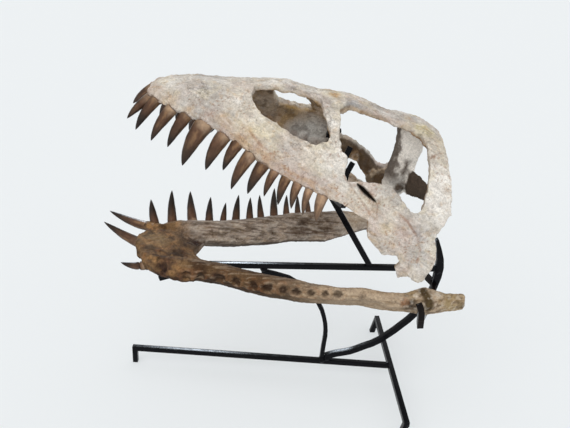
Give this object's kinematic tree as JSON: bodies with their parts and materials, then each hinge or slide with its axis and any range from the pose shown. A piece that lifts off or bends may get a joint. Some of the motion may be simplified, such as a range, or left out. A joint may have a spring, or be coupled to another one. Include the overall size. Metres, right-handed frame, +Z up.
{
  "type": "plesiosaur skull fossil on a display stand",
  "caption": "Long-necked plesiosaur skull and lower jaw with interlocking fang-like teeth, mouth open, carried on a welded steel bar stand.",
  "frame": {"origin": "on the floor, under the middle of the whole piece's box", "axes": "+X towards the back of the head, -X towards the snout, +Y towards the animal's right side, +Z up"},
  "size_m": [0.3732, 0.214, 0.3625],
  "materials": {
    "skull_bone": "dry mineralised bone, cream mottled with ochre and grey",
    "inner_bone": "dark brown matrix-stained bone",
    "jaw_bone": "ochre-brown mineralised bone",
    "tooth": "dark brown polished enamel, tan at the root",
    "stand_steel": "semi-gloss black paint"
  },
  "bodies": {
    "root": {"skull_snout": "skull_bone", "skull_roof": "skull_bone", "skull_cheek_left": "skull_bone", "skull_cheek_right": "skull_bone", "skull_eye_bar_left": "skull_bone", "skull_eye_bar_right": "skull_bone", "skull_rear_left": "skull_bone", "skull_rear_right": "skull_bone", "skull_palate": "inner_bone", "skull_braincase": "inner_bone", "jaw_front": "jaw_bone", "jaw_side_left": "jaw_bone", "jaw_side_right": "jaw_bone", "jaw_joint_left": "jaw_bone", "jaw_joint_right": "jaw_bone", "stand_base_spine": "stand_steel", "stand_base_crossbar": "stand_steel", "stand_arch": "stand_steel", "stand_post": "stand_steel", "stand_beam": "stand_steel", "stand_strut": "stand_steel", "stand_yoke_left": "stand_steel", "stand_yoke_right": "stand_steel", "stand_cradle_left": "stand_steel", "stand_cradle_right": "stand_steel"}
  },
  "joints": []
}
